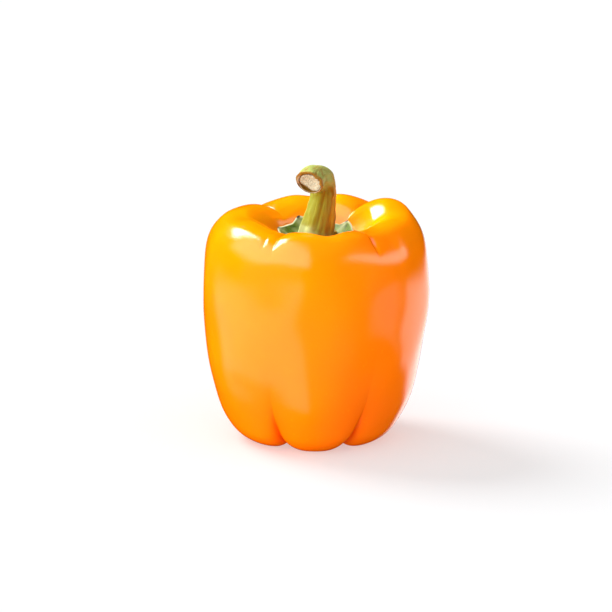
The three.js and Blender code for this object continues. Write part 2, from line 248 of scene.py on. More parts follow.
# White cards that only the gloss mirrors: azimuth from and to, elevation of the lower edge at both
# ends, elevation of the upper edge at both ends, strength, soft edge sideways and upwards in degrees.
CARD_RADIUS = 1.2
CARD_CENTRE = np.array([0.0, 0.0, 0.05])
CARDS = {
    "card_window":      (-142, -102, (37, 35), (63, 67), 22.0, 7, 7),
    "card_left_front":  (-101, -5, (19, 19), (82, 82), 2.9, 4, 18),
    "card_right_front": (46, 113, (27, 6), (52, 38), 3.0, 8, 10),
    "card_table_left":  (-118, -11, (-30, -54), (0, 6), 1.05, 10, 9),
    "card_table_right": (56, 100, (-18, -24), (-3, -3), 0.7, 14, 5),
    "card_table_back":  (96, 172, (-28, -31), (-4, -3), 1.7, 8, 6),
}
FLOOR_SIZE = 8.0
FLOOR_GREY = (0.55, 0.56, 0.57, 1)


# Curves and meshes

def spline(values, t):
    """Smooth curve through evenly spaced values, t from 0 to 1: a cubic from each value to the next,
    whose slope at a value is half the step between its neighbours, with the end values doubled."""
    values = np.asarray(values, float)
    last = len(values) - 1
    place = np.clip(t, 0, 1) * last
    i = np.minimum(place.astype(int), last - 1)
    w = place - i
    before, here = values[np.maximum(i - 1, 0)], values[i]
    after, beyond = values[i + 1], values[np.minimum(i + 2, last)]
    slope, next_slope = (after - before) / 2, (beyond - here) / 2
    cubic = 2 * here - 2 * after + slope + next_slope
    square = 3 * after - 3 * here - 2 * slope - next_slope
    return ((cubic * w + square) * w + slope) * w + here


def smooth(low, high, value):
    """0 below low, 1 above high, and between them three times the square of the way less twice its
    cube."""
    t = np.clip((value - low) / (high - low), 0, 1)
    return t * t * (3 - 2 * t)


def waves(points, length, seed, count=28):
    """Smooth uneven height at each point: the sum of cosines along random directions, whose lengths
    spread about the given one, scaled so that the heights have a standard deviation of 1."""
    draw = np.random.default_rng(seed)
    way = draw.normal(size=(count, 3))
    way /= np.linalg.norm(way, axis=1, keepdims=True)
    number = 2 * np.pi / length * draw.uniform(0.6, 1.5, count)
    phase = draw.uniform(0, 2 * np.pi, count)
    return np.cos(points @ (way * number[:, None]).T + phase).sum(-1) * np.sqrt(2 / count)


def grid_normals(points):
    """Unit normals of a grid whose columns close on themselves: across the columns times up the rows."""
    across = np.roll(points, -1, 1) - np.roll(points, 1, 1)
    up = np.gradient(points, axis=0)
    normal = np.cross(across, up)
    return normal / np.maximum(np.linalg.norm(normal, axis=-1, keepdims=True), 1e-9)


def lobe_columns(per_lobe):
    """Lobe and place across it (-1 to 1) of each column round the fruit: halfway between even spacing
    and the cosine spacing that bunches the columns at the grooves."""
    even = np.arange(per_lobe) / per_lobe
    x = even + (1 - np.cos(np.pi * even)) / 2 - 1
    return np.repeat(np.arange(4), per_lobe), np.tile(x, 4)


def closed_mesh(name, first, rings, last, **marks):
    """Piece through rings of points in millimetres, counter-clockwise seen from the end that comes
    last, with a point closing each end. marks are one value or vector for every point."""
    rows, count = rings.shape[:2]
    points = np.concatenate([[first], rings.reshape(-1, 3), [last]]) * MM
    here = 1 + np.arange(rows)[:, None] * count + np.arange(count)
    beside = np.roll(here, -1, 1)
    walls = np.stack([here[:-1], beside[:-1], beside[1:], here[1:]], -1).reshape(-1, 4)
    ends = np.full(count, 0), np.full(count, len(points) - 1)
    bottom = np.stack([ends[0], beside[0], here[0]], -1)
    top = np.stack([here[-1], beside[-1], ends[1]], -1)
    mesh = bpy.data.meshes.new(name)
    mesh.from_pydata(points.tolist(), [], bottom.tolist() + walls.tolist() + top.tolist())
    for label, values in marks.items():
        values = np.asarray(values, np.float32)
        kind, slot = ("FLOAT_VECTOR", "vector") if values.ndim == 3 else ("FLOAT", "value")
        flat = values.reshape(rows * count, -1)
        closed = np.concatenate([flat[:count].mean(0)[None], flat, flat[-count:].mean(0)[None]])
        mesh.attributes.new(label, kind, "POINT").data.foreach_set(slot, closed.ravel())
    mesh.shade_smooth()
    piece = bpy.data.objects.new(name, mesh)
    bpy.context.collection.objects.link(piece)
    return piece


# Pieces

def skin(lobe, x, s):
    """Point of the fruit's skin in mm, and how deep it lies in a groove (0 to 1). x runs from groove to
    groove across the lobe, s from the blossom end (0) to the socket under the calyx (1).

    The profile's mid-lobe and groove lines are mixed by the depth in the groove: a cosine for a soft
    hollow, and one minus a superellipse, rounded at its bottom, for a sharp crease. Reach and lift
    pass from lobe to lobe with the square of the cosine, a sine leans the crest, a bell curve dents
    the middle, and each fine crease is a bell along its length and a peak across it."""
    rows = np.array(list(PROFILE.values())).T
    mid_r, mid_z, gap_r, gap_z, full, crease, dip_r, dip_z = (spline(row, s) for row in rows)
    crown = smooth(*CROWN_IN, s)
    other = (lobe + np.where(x > 0, 1, 3)) % 4
    groove = np.where(x > 0, (lobe + 1) % 4, lobe)

    azimuths = [spline(row, s) for row in GROOVE_AZIMUTH.values()]
    azimuths = np.stack(azimuths + [azimuths[0] + 360], 0)
    start = np.take_along_axis(azimuths, np.broadcast_to(lobe, azimuths[0].shape)[None], 0)[0]
    end = np.take_along_axis(azimuths, np.broadcast_to(lobe + 1, azimuths[0].shape)[None], 0)[0]
    azimuth = np.radians((start + end) / 2 + (end - start) / 2 * x)

    e = CREASE_WIDTH
    t = (np.hypot(1 - np.abs(x), e) - e) / (np.hypot(1, e) - e)
    power = np.clip(full * (1 + (FOOT_FULL[lobe] - 1) * (1 - crown)), *FULL_LIMITS)
    sharp = 1 - (1 - np.clip(1 - t, 0, 1) ** power) ** (1 / power)
    soft = (1 - np.cos(np.pi * x)) / 2
    crease = np.clip(crease, 0, 1)
    depth = crease * sharp + (1 - crease) * soft
    depths = np.stack([spline(row, s) for row in GROOVE_DEPTH], 0)
    in_groove = depth * np.take_along_axis(depths, np.broadcast_to(groove, depths[0].shape)[None], 0)[0]
    r = mid_r + (gap_r - mid_r) * in_groove
    z = mid_z + (gap_z - mid_z) * in_groove

    share = soft ** 2 / 2
    foot, top, well, lift = (row[lobe] * (1 - share) + row[other] * share
                             for row in (FOOT_REACH, CROWN_REACH, WELL_REACH, LIFT))
    r = r * (foot * (1 - crown) + top * crown)
    r = r * (1 + (well - 1) * smooth(*WELL_IN, s) * smooth(*WELL_OUT, s))
    dent = DENT[lobe] * np.exp(-((x - DENT_AT[lobe]) / DENT_WIDTH[lobe]) ** 2)
    r = r + dip_r * dent
    lift = lift + LEAN[lobe] * np.sin(np.pi * x)
    high = np.clip((z - LIFT_START) / LIFT_RANGE, 0, 1) ** LIFT_POWER
    z = z + dip_z * dent + lift * high * np.clip((r - LIFT_RADIUS) / LIFT_FADE, 0, 1)

    aside = np.where(x > 0, -1, 1) * (1 - np.abs(x))
    for beside, shift, along, length, width, deep in CREASES:
        across = np.radians(45) * r * (aside - shift)
        fold = deep * (groove == beside) * np.exp(-((s - along) / length) ** 2
                                                  - np.abs(across / width) ** FOLD_PEAK)
        r, z = r - FOLD_SINK * fold, z - FOLD_SINK * fold
    point = np.stack([r * np.sin(azimuth) + AXIS[0], AXIS[1] - r * np.cos(azimuth), np.maximum(z, 0)], -1)
    return point, depth * crease


def make_fruit():
    """The whole skin, row by row from the blossom end to the socket, swollen along its normals by
    smooth waves that die out at the feet, in the creases and under the calyx."""
    lobe, x = lobe_columns(FRUIT_COLUMNS)
    s = (np.arange(1, FRUIT_ROWS) / FRUIT_ROWS)[:, None] * np.ones(len(x))
    points, crease = skin(lobe[None], x[None], s)
    swell = UNDULATION * waves(points, UNDULATION_LENGTH, seed=5)
    swell *= smooth(*SWELL_IN, points[..., 2]) * smooth(*SWELL_OUT, s) * (1 - SWELL_CALM * crease)
    points = points + grid_normals(points) * swell[..., None]
    ends = [skin(np.array([0]), np.zeros(1), np.full(1, place))[0][0] for place in (0.0, 1.0)]
    return closed_mesh("pepper_fruit", ends[0], points, ends[1], crease=crease, rise=s)


def calyx_edge(azimuth):
    """Radius of the calyx's edge in mm, how much of a corner and of a vein it is, and how far it curls
    up: the chord between two corners, bowed towards the circle through them, with a bell-shaped tip at
    each corner, and the curl along a straight line from corner to corner."""
    turned = (azimuth - CALYX_CORNERS[0]) % 360 + CALYX_CORNERS[0]
    i = np.clip(np.searchsorted(CALYX_CORNERS, turned, "right") - 1, 0, len(CALYX_CORNERS) - 2)
    start, end = CALYX_CORNERS[i], CALYX_CORNERS[i + 1]
    chord = CALYX_CORNER_RADIUS * np.cos(np.radians((end - start) / 2))
    straight = chord / np.cos(np.radians(turned - (start + end) / 2))
    near = np.minimum(turned - start, end - turned)
    corner = np.exp(-(near / CALYX_TIP_WIDTH) ** 2)
    radius = straight + (CALYX_CORNER_RADIUS - straight) * CALYX_BOW + CALYX_TIP * corner
    curl = CALYX_CURL[i] + (CALYX_CURL[i + 1] - CALYX_CURL[i]) * (turned - start) / (end - start)
    return radius, corner, np.exp(-(near / VEIN_WIDTH) ** 2), curl


def make_calyx():
    """Cornered leaf that lies on the well with an even gap: from under the stem out along the skin to
    the edge, and back over the top, which carries a vein to each corner. It curls up with a power of
    the way out, and thins at its edge."""
    lobe, x = lobe_columns(CALYX_COLUMNS)
    hinge, _ = skin(lobe, x, np.full(len(x), CALYX_HINGE))
    azimuth = np.degrees(np.arctan2(hinge[:, 0], -hinge[:, 1]))
    radius, corner, vein, curl = calyx_edge(azimuth)
    share = (radius - FLOOR_RADIUS) / (WALL_RADIUS - FLOOR_RADIUS)
    edge = FLOOR_PLACE + (WALL_PLACE - FLOOR_PLACE) * share
    u = (np.arange(1, CALYX_ROWS + 1) / CALYX_ROWS)[:, None]
    s = 1 - u * (1 - edge)
    here, _ = skin(lobe[None], x[None], s)
    ahead, _ = skin(lobe[None], x[None], s - STEP)
    step = ahead - here
    lean = np.cos(np.arctan2(step[..., 2], np.hypot(step[..., 0], step[..., 1])))
    base = here.copy()
    base[..., 2] += (CALYX_GAP + curl * u ** CURL_POWER) / lean
    uneven = CALYX_UNEVEN * waves(here, CALYX_UNEVEN_LENGTH, seed=3) * smooth(0.3, 0.6, u)
    thick = CALYX_THICK + (CALYX_RIM - CALYX_THICK) * u + VEIN * vein * smooth(1, 0.7, u) + uneven
    thick = thick * (1 - CALYX_BEVEL * smooth(0.93, 1, u))
    top = base.copy()
    top[..., 2] = np.maximum(base[..., 2] + thick / lean, CALYX_SEAT)
    rings = np.concatenate([base, top[::-1]])
    centre = skin(np.array([0]), np.zeros(1), np.ones(1))[0][0]
    out = np.concatenate([u, u[::-1]]) * np.ones(len(x))
    tip = out ** TIP_POWERS[0] * corner ** TIP_POWERS[1]
    return closed_mesh("pepper_calyx", centre + (0, 0, CALYX_GAP), rings, (*centre[:2], CALYX_SEAT),
                       out=out, tip=tip, vein=np.ones_like(out) * vein)


def stem_line(t):
    """Centre line of the stem at t: point, radius, direction, and the two directions across it. The
    direction is the slope of the spline, and the level direction is made square to it."""
    point = np.stack([spline(STEM[:, axis], t) for axis in range(3)], -1)
    ends = [np.stack([spline(STEM[:, axis], np.clip(t + way, 0, 1)) for axis in range(3)], -1)
            for way in (-STEP, STEP)]
    along = ends[1] - ends[0]
    along /= np.linalg.norm(along, axis=-1, keepdims=True)
    across = STEM_ACROSS - (along @ STEM_ACROSS)[..., None] * along
    across /= np.linalg.norm(across, axis=-1, keepdims=True)
    return point, spline(STEM[:, 3], t), along, across, np.cross(across, along)


def stem_ring(t, turn, grow, sink):
    """Ring points of the stem: the centre, moved back by sink, plus the radius with its ribs, grown by
    grow, along the direction that turn gives between the two directions across. Towards the cut end
    the ribs fade, and the ring leans by the tangent of the cut's slant."""
    point, radius, along, across, front = stem_line(t)
    ribs = STEM_RIB * np.cos(STEM_RIBS * turn) * smooth(1.0, RIB_END, t)
    r = radius * (1 + ribs) + grow
    sink = sink + r * np.tan(np.radians(CUT_SLANT)) * np.cos(turn) * smooth(CUT_START, 1, t)
    return point - along * sink[..., None] + (front * np.cos(turn)[..., None]
                                              + across * np.sin(turn)[..., None]) * r[..., None]


def round_the_stem(rows, count):
    """Angles round the stem for a number of rings, in radians from its front."""
    return np.ones((rows, 1)) * (2 * np.pi * np.arange(count) / count)


def make_stem():
    """Lofted stem whose ribs spread at the foot, with fine wrinkles that die out over the hooked head,
    closed by a rim with a rounded, uneven outer edge and a recess for the pith."""
    t = (np.arange(STEM_ROWS) / (STEM_ROWS - 1))[:, None]
    turn = round_the_stem(STEM_ROWS, STEM_AROUND)
    t = t * np.ones(STEM_AROUND)
    length = np.linalg.norm(np.diff(STEM[:, :3], axis=0), axis=1).sum()
    grain = np.stack([GRAIN_RADIUS * np.cos(turn), GRAIN_RADIUS * np.sin(turn), t * length], -1)
    stretched = grain * (1, 1, WRINKLE_STRETCH)
    grow = STEM_WRINKLE * waves(stretched, WRINKLE_LENGTH, seed=11) * smooth(*WRINKLE_OUT, t)
    grow += STEM_UNEVEN * waves(grain, STEM_UNEVEN_LENGTH, seed=12)
    spread = np.exp(-(t / STEM_FLARE_SHARE) ** FLARE_POWER)
    grow += STEM_FLARE * spread * (FLARE_EVEN + (1 - FLARE_EVEN) * np.cos(STEM_RIBS * turn))
    grow -= CUT_ROUND * smooth(CUT_ROUND_START, 1, t)
    body = stem_ring(t, turn, grow, 0 * t)

    # rim: its crown, its inner edge, the wall of the recess and the recess's floor
    one, turn_one = np.ones((1, STEM_AROUND)), turn[:1]
    rag = RIM_RAG * waves(grain[-1:] * (1, 1, 0), RIM_RAG_LENGTH, seed=13)
    wall = bark_wall(turn_one)
    rings = [(-CUT_ROUND - RIM_IN, -RIM_HEIGHT + rag), (-wall + RIM_LIP + rag, RIM_HEIGHT + rag),
             (-wall - RIM_CLEAR, RIM_LIP_DEPTH + rag), (-wall - RIM_CLEAR, CUT_DEPTH + 0 * rag)]
    rim = [stem_ring(one, turn_one, shrink * one, sink * one) for shrink, sink in rings]
    points = np.concatenate([body] + rim)
    marks = {"grain": grain * MM, "cut": smooth(0.8, 1, t) ** 2, "climb": t,
             "low": np.cos(turn + LOW_TURN), "side": np.sin(turn - np.radians(SIDE_TURN))}
    marks = {name: np.concatenate([values] + [values[-1:]] * len(rim)) for name, values in marks.items()}
    within = np.concatenate([0 * t] + [one * depth for depth in RIM_WITHIN])
    return closed_mesh("pepper_stem", points[0].mean(0), points, points[-1].mean(0),
                       within=within, **marks)


def bark_wall(turn):
    """Thickness of the bark round the pith: a cosine round the cut, thickest on top."""
    return BARK - BARK_TOP * np.cos(turn)


def make_pith():
    """Plug in the recess: its side, a rounded edge and a face that dips as one minus the square of the
    way out, with fibres on it. On one side it has shrunk from the bark by a bell-shaped crack, and
    the face sinks into that crack with a power of the way out."""
    count = STEM_AROUND
    turn = round_the_stem(1, count)
    off = (np.degrees(turn) - PITH_CRACK_TURN + 180) % 360 - 180
    crack = np.exp(-(off / PITH_CRACK_WIDTH) ** 2)
    edge = -(bark_wall(turn) + PITH_GAP + PITH_CRACK * crack)
    one = np.ones((1, count))
    _, radius, *_ = stem_line(one)
    rings = [stem_ring(one, turn, edge, (CUT_DEPTH - PITH_FLOOR) * one)]
    out = [one]
    for share in np.linspace(1, 1 / PITH_RINGS, PITH_RINGS):
        dip = PITH_FACE + PITH_BEVEL * smooth(0.8, 1, share) + PITH_HOLLOW * (1 - share ** 2)
        dip = dip + CRACK_DEPTH * crack * share ** CRACK_POWER
        shrink = edge - (radius + edge) * (1 - share)
        here = stem_ring(one, turn, shrink, dip * one)
        fibres = FIBRE * waves(here * (1, FIBRE_STRETCH, 1), FIBRE_LENGTH, seed=21)
        rings.append(stem_ring(one, turn, shrink, dip + fibres))
        out.append(one * share)
    rings = np.concatenate(rings)
    return closed_mesh("pepper_pith", rings[0].mean(0), rings, rings[-1].mean(0),
                       out=np.concatenate(out), crack=np.ones((len(out), 1)) * crack)


# Shader nodes

def add(tree, kind, **inputs):
    """New node in a tree. Inputs are values or the output sockets of other nodes, named with
    underscores for spaces; names that are the node's own settings are set on it."""
    node = tree.nodes.new("ShaderNode" + kind)
    for key, value in inputs.items():
        if hasattr(node, key):
            setattr(node, key, value)
    for key, value in inputs.items():
        if hasattr(node, key):
            continue
        name = key.replace("_", " ")
        socket = next(s for s in node.inputs if s.name.lower() == name.lower() and s.enabled)
        if isinstance(value, bpy.types.NodeSocket):
            tree.links.new(value, socket)
        else:
            socket.default_value = value
    return node


def mixed(tree, factor, low, high):
    """Colour between low and high by a factor."""
    mix = add(tree, "Mix", data_type="RGBA", clamp_factor=True)
    for socket, value in zip((mix.inputs[0], mix.inputs[6], mix.inputs[7]), (factor, low, high)):
        if isinstance(value, bpy.types.NodeSocket):
            tree.links.new(value, socket)
        else:
            socket.default_value = value if isinstance(value, float) else (*value, 1.0)
    return mix.outputs[2]


def times(tree, value, factor, power=1.0):
    """value to a power, times a factor."""
    raised = add(tree, "Math", operation="POWER", use_clamp=True)
    tree.links.new(value, raised.inputs[0])
    raised.inputs[1].default_value = power
    scaled = add(tree, "Math", operation="MULTIPLY")
    tree.links.new(raised.outputs[0], scaled.inputs[0])
    if isinstance(factor, bpy.types.NodeSocket):
        tree.links.new(factor, scaled.inputs[1])
    else:
        scaled.inputs[1].default_value = factor
    return scaled.outputs[0]


def mark(tree, name, output="Fac"):
    """A piece's own point attribute."""
    return add(tree, "Attribute", attribute_name=name).outputs[output]


def ranged(tree, value, low, high, to_low=0.0, to_high=1.0):
    """value between low and high, smoothly stretched to run from to_low to to_high."""
    return add(tree, "MapRange", interpolation_type="SMOOTHSTEP", Value=value, From_Min=low,
               From_Max=high, To_Min=to_low, To_Max=to_high).outputs["Result"]


def new_group(name, inputs):
    """Empty shader node group with vector and number inputs and one number output, Mask."""
    group = bpy.data.node_groups.new(name, "ShaderNodeTree")
    for key, default in inputs.items():
        kind = "NodeSocketVector" if default is None else "NodeSocketFloat"
        socket = group.interface.new_socket(key, in_out="INPUT", socket_type=kind)
        if default is not None:
            socket.default_value = default
    group.interface.new_socket("Mask", in_out="OUTPUT", socket_type="NodeSocketFloat")
    return group, group.nodes.new("NodeGroupInput").outputs, group.nodes.new("NodeGroupOutput").inputs


def mottle_group():
    """Cloudy patches: fractal noise stretched between Low and High."""
    tree, given, result = new_group("mottle", {"Place": None, "Scale": 100.0, "Detail": 2.0,
                                               "Low": 0.35, "High": 0.65})
    noise = add(tree, "TexNoise", Vector=given["Place"], Scale=given["Scale"], Detail=given["Detail"])
    spread = ranged(tree, noise.outputs["Fac"], given["Low"], given["High"])
    tree.links.new(spread, result["Mask"])
    return tree


def streak_group():
    """Fibres along a grain: noise that is fine across (x and y) and long along it (z)."""
    tree, given, result = new_group("streaks", {"Grain": None, "Across": 1000.0, "Along": 100.0,
                                                "Low": 0.35, "High": 0.65})
    stretch = add(tree, "CombineXYZ", X=given["Across"], Y=given["Across"], Z=given["Along"])
    place = add(tree, "VectorMath", operation="MULTIPLY")
    tree.links.new(given["Grain"], place.inputs[0])
    tree.links.new(stretch.outputs[0], place.inputs[1])
    noise = add(tree, "TexNoise", Vector=place.outputs[0], Scale=1.0, Detail=3.0, Distortion=0.3)
    spread = ranged(tree, noise.outputs["Fac"], given["Low"], given["High"])
    tree.links.new(spread, result["Mask"])
    return tree


def grouped(tree, group, **inputs):
    """The Mask of a node group placed in a tree with its own values."""
    return add(tree, "Group", node_tree=group, **inputs).outputs["Mask"]


def bumped(tree, layers):
    """Normal of bumps laid over each other: each layer is its height and its size in metres."""
    normal = None
    for height, size in layers:
        bump = add(tree, "Bump", Height=height, Distance=size, Strength=1.0)
        if normal:
            tree.links.new(normal, bump.inputs["Normal"])
        normal = bump.outputs["Normal"]
    return normal


def new_material(name, **values):
    """Material with a Principled shader; values go onto the shader's own sockets."""
    material = bpy.data.materials.new(name)
    material.use_nodes = True
    tree = material.node_tree
    shader = tree.nodes["Principled BSDF"]
    for key, value in values.items():
        shader.inputs[key.replace("_", " ")].default_value = value
    return material, tree, shader


def connect(tree, shader, **sockets):
    """Links to the shader's sockets, named with underscores for spaces."""
    for key, socket in sockets.items():
        tree.links.new(socket, shader.inputs[key.replace("_", " ")])


# Materials

# The golds are painted light on the upper body and over the crest; the red is painted shade in the
# creases.
PAINTED_LIGHT_GOLD = (0.98, 0.27, 0.0)
ORANGE = (0.98, 0.165, 0.0)
CREASE_SHADE_RED = (0.90, 0.07, 0.0)
CREST_PAINTED_LIGHT_GOLD = (0.98, 0.36, 0.0)
# Places on the profile (0 to 1), in pairs from none to all, and metres to the right.
PAINTED_LIGHT_RISE = (0.1, 0.75)
# Painted shade: where the skin turns deeper orange towards its right side.
RIGHT_SHADE_RISE = (0.7, 0.5)
RIGHT_SHADE_ACROSS = (-0.025, 0.03)
CREST_LIGHT_IN = (0.68, 0.75)
CREST_LIGHT_OUT = (0.86, 0.79)
DULL_RISE = (0.79, 0.85)
FLECK = (0.98, 0.27, 0.0)


def skin_material(mottle):
    """Waxy pepper skin: golden orange, with painted light that makes it more golden up the body and
    yellowest over the crest, and painted shade that makes it deeper orange to the right and redder in
    the creases, with fine golden flecks and faint pores under a smooth gloss that dulls down in the well."""
    material, tree, shader = new_material(
        "pepper_skin", Specular_IOR_Level=0.5, IOR=1.5, Subsurface_Weight=0.12, Subsurface_Scale=0.003,
        Subsurface_Radius=(1.0, 0.35, 0.08))
    place = add(tree, "TexCoord").outputs["Object"]
    clouds = grouped(tree, mottle, Place=place, Scale=38.0, Detail=2.0, Low=0.3, High=0.7)
    flecks = grouped(tree, mottle, Place=place, Scale=850.0, Detail=2.0, Low=0.62, High=0.78)
    pores = grouped(tree, mottle, Place=place, Scale=1400.0, Detail=1.0, Low=0.3, High=0.7)
    rise = mark(tree, "rise")
    # painted light: more golden up the body
    colour = mixed(tree, ranged(tree, rise, *PAINTED_LIGHT_RISE), ORANGE, PAINTED_LIGHT_GOLD)
    across = add(tree, "SeparateXYZ", Vector=place).outputs["X"]
    # painted shade: deeper orange towards the right
    right_shade = times(tree, ranged(tree, across, *RIGHT_SHADE_ACROSS), ranged(tree, rise, *RIGHT_SHADE_RISE, 0.0, 0.6))
    colour = mixed(tree, right_shade, colour, ORANGE)
    # painted light: yellowest over the crest
    inner = times(tree, ranged(tree, rise, *CREST_LIGHT_IN), ranged(tree, rise, *CREST_LIGHT_OUT))
    colour = mixed(tree, times(tree, inner, 0.8), colour, CREST_PAINTED_LIGHT_GOLD)
    colour = mixed(tree, times(tree, clouds, 0.3), colour, ORANGE)
    # painted shade: redder in the creases
    colour = mixed(tree, times(tree, mark(tree, "crease"), 0.7, 1.3), colour, CREASE_SHADE_RED)
    colour = mixed(tree, times(tree, flecks, 0.25), colour, FLECK)
    dull = add(tree, "Math", operation="ADD")
    tree.links.new(ranged(tree, clouds, 0.0, 1.0, 0.10, 0.15), dull.inputs[0])
    tree.links.new(ranged(tree, rise, *DULL_RISE, 0.0, 0.12), dull.inputs[1])
    connect(tree, shader, Base_Color=colour, Roughness=dull.outputs[0],
            Normal=bumped(tree, [(pores, 0.000012), (flecks, 0.00001)]))
    return material


SEPAL_GREEN = (0.12, 0.18, 0.015)
SEPAL_DARK = (0.05, 0.09, 0.012)
SEPAL_PALE = (0.50, 0.52, 0.30)
DRY_TIP = (0.06, 0.035, 0.015)


def calyx_material(mottle, streaks):
    """Satin leaf: mottled green, pale along the veins and on the thin rim, and pale near the stem with
    wax bloom and a painted highlight, with dry brown tips."""
    material, tree, shader = new_material("pepper_calyx_green", Specular_IOR_Level=0.25)
    place = add(tree, "TexCoord").outputs["Object"]
    out, vein = mark(tree, "out"), mark(tree, "vein")
    clouds = grouped(tree, mottle, Place=place, Scale=420.0, Detail=3.0, Low=0.35, High=0.65)
    bloom = grouped(tree, mottle, Place=place, Scale=260.0, Detail=3.0, Low=0.42, High=0.62)
    grain = grouped(tree, streaks, Grain=place, Across=900.0, Along=900.0)
    colour = mixed(tree, clouds, SEPAL_DARK, SEPAL_GREEN)
    colour = mixed(tree, times(tree, vein, 0.35, 1.0), colour, SEPAL_PALE)
    # pale wax bloom near the stem, partly a painted highlight
    bloom_and_highlight = times(tree, bloom, ranged(tree, out, 0.8, 0.45, 0.15, 0.9))
    colour = mixed(tree, bloom_and_highlight, colour, SEPAL_PALE)
    colour = mixed(tree, ranged(tree, out, 0.93, 0.99, 0.0, 0.85), colour, SEPAL_PALE)
    colour = mixed(tree, ranged(tree, mark(tree, "tip"), 0.35, 0.75), colour, DRY_TIP)
    connect(tree, shader, Base_Color=colour, Roughness=ranged(tree, bloom, 0.0, 1.0, 0.42, 0.62),
            Normal=bumped(tree, [(clouds, 0.00012), (grain, 0.00006)]))
    return material


# Across the stem the colours are partly painted light: yellow-green for the lit left side, brown partly
# painted shade, and amber partly painted orange light reflected from the fruit.
STEM_LIT_GREEN = (0.25, 0.27, 0.03)
STEM_OLIVE = (0.18, 0.155, 0.003)
STEM_BROWN_AND_SHADE = (0.21, 0.085, 0.001)
STEM_AMBER_AND_REFLECTION = (0.36, 0.16, 0.002)
STEM_HEAD = (0.30, 0.34, 0.08)
STEM_FOOT_BLOOM_AND_HIGHLIGHT = (0.42, 0.48, 0.22)
BARK_BROWN = (0.24, 0.11, 0.010)
RIM_PALE = (0.50, 0.40, 0.26)
# Places across the stem (-1 left, 1 right) and along it (0 to 1), in pairs from none to all.
OLIVE_SIDE = (-0.75, 0.05)
BROWN_AND_SHADE_SIDE = (0.0, 0.7)
AMBER_AND_REFLECTION_SIDE = (0.85, 1.15)
BLOOM_AND_HIGHLIGHT_SIDE = (0.3, -0.6)
HEAD_CLIMB = (0.62, 0.8)
FOOT_CLIMB = (0.26, 0.1)
DRY_CLIMB = (0.72, 0.95)


def stem_material(mottle, streaks):
    """Ribbed stem: yellow-green on its left, painted as the lit side, through olive to brown, partly
    painted shade, and amber, partly painted orange light reflected from the fruit, on the right, streaked
    along its grain, green over the hooked head, pale at the foot with wax bloom and a painted highlight,
    and dry brown round the cut, whose inner edge is pale on its lower side."""
    material, tree, shader = new_material("pepper_stem_bark", Specular_IOR_Level=0.25)
    grain = mark(tree, "grain", "Vector")
    side, cut, climb = (mark(tree, name) for name in ("side", "cut", "climb"))
    broad = grouped(tree, streaks, Grain=grain, Across=420.0, Along=45.0)
    fine = grouped(tree, streaks, Grain=grain, Across=1500.0, Along=110.0)
    blotch = grouped(tree, mottle, Place=grain, Scale=330.0, Detail=3.0, Low=0.45, High=0.62)
    shift = add(tree, "Math", operation="MULTIPLY_ADD")
    tree.links.new(broad, shift.inputs[0])
    shift.inputs[1].default_value = 0.5
    tree.links.new(side, shift.inputs[2])
    place = shift.outputs[0]
    # across the stem: yellow-green painted as the lit left side, then olive
    colour = mixed(tree, ranged(tree, place, *OLIVE_SIDE), STEM_LIT_GREEN, STEM_OLIVE)
    # brown on the right, partly its own colour and partly painted shade
    colour = mixed(tree, ranged(tree, place, *BROWN_AND_SHADE_SIDE), colour, STEM_BROWN_AND_SHADE)
    # amber at the right edge, partly painted orange light reflected from the fruit
    colour = mixed(tree, ranged(tree, place, *AMBER_AND_REFLECTION_SIDE), colour, STEM_AMBER_AND_REFLECTION)
    colour = mixed(tree, times(tree, fine, 0.35), colour, STEM_LIT_GREEN)
    colour = mixed(tree, ranged(tree, climb, *HEAD_CLIMB, 0.0, 0.9), colour, STEM_HEAD)
    # pale wax bloom at the foot on the left, partly a painted highlight
    bloom_and_highlight = times(tree, ranged(tree, side, *BLOOM_AND_HIGHLIGHT_SIDE), ranged(tree, climb, *FOOT_CLIMB, 0.0, 0.8))
    colour = mixed(tree, bloom_and_highlight, colour, STEM_FOOT_BLOOM_AND_HIGHLIGHT)
    brown = times(tree, blotch, ranged(tree, climb, *DRY_CLIMB, 0.0, 0.9))
    colour = mixed(tree, brown, colour, BARK_BROWN)
    colour = mixed(tree, ranged(tree, cut, 0.75, 0.98, 0.0, 0.9), colour, BARK_BROWN)
    inner_edge = ranged(tree, mark(tree, "within"), 0.45, 0.95)
    pale = times(tree, inner_edge, ranged(tree, mark(tree, "low"), -0.4, 0.2))
    colour = mixed(tree, pale, colour, RIM_PALE)
    connect(tree, shader, Base_Color=colour, Roughness=ranged(tree, fine, 0.0, 1.0, 0.45, 0.62),
            Normal=bumped(tree, [(broad, 0.00018), (fine, 0.00010)]))
    return material


PITH_CREAM = (0.44, 0.44, 0.32)
PITH_PALE = (0.55, 0.57, 0.43)
PITH_SHADE = (0.16, 0.08, 0.02)


def pith_material(mottle, streaks):
    """Dry pith: cream and fibrous, with painted shade that darkens it a little in its pits and
    strongly along the crack.
    """
    material, tree, shader = new_material("pepper_stem_pith", Specular_IOR_Level=0.2)
    place = add(tree, "TexCoord").outputs["Object"]
    fibres = grouped(tree, streaks, Grain=place, Across=1500.0, Along=500.0)
    pits = grouped(tree, mottle, Place=place, Scale=900.0, Detail=3.0, Low=0.4, High=0.62)
    colour = mixed(tree, fibres, PITH_CREAM, PITH_PALE)
    # painted shade: a little darker in the pits
    colour = mixed(tree, times(tree, pits, 0.25), colour, PITH_SHADE)
    # painted shade: dark along the crack
    crack_shade = times(tree, mark(tree, "crack"), ranged(tree, mark(tree, "out"), 0.6, 1.0), 1.2)
    colour = mixed(tree, crack_shade, colour, PITH_SHADE)
    connect(tree, shader, Base_Color=colour, Roughness=ranged(tree, pits, 0.0, 1.0, 0.8, 0.95),
            Normal=bumped(tree, [(fibres, 0.00012), (pits, 0.00015)]))
    return material


# Studio

def direction(azimuth, elevation):
    """Unit vector from azimuth and elevation in degrees; arrays give arrays."""
    az, el = np.radians(azimuth), np.radians(elevation)
    return np.stack([np.cos(el) * np.sin(az), -np.cos(el) * np.cos(az), np.sin(el) + 0 * az], -1)


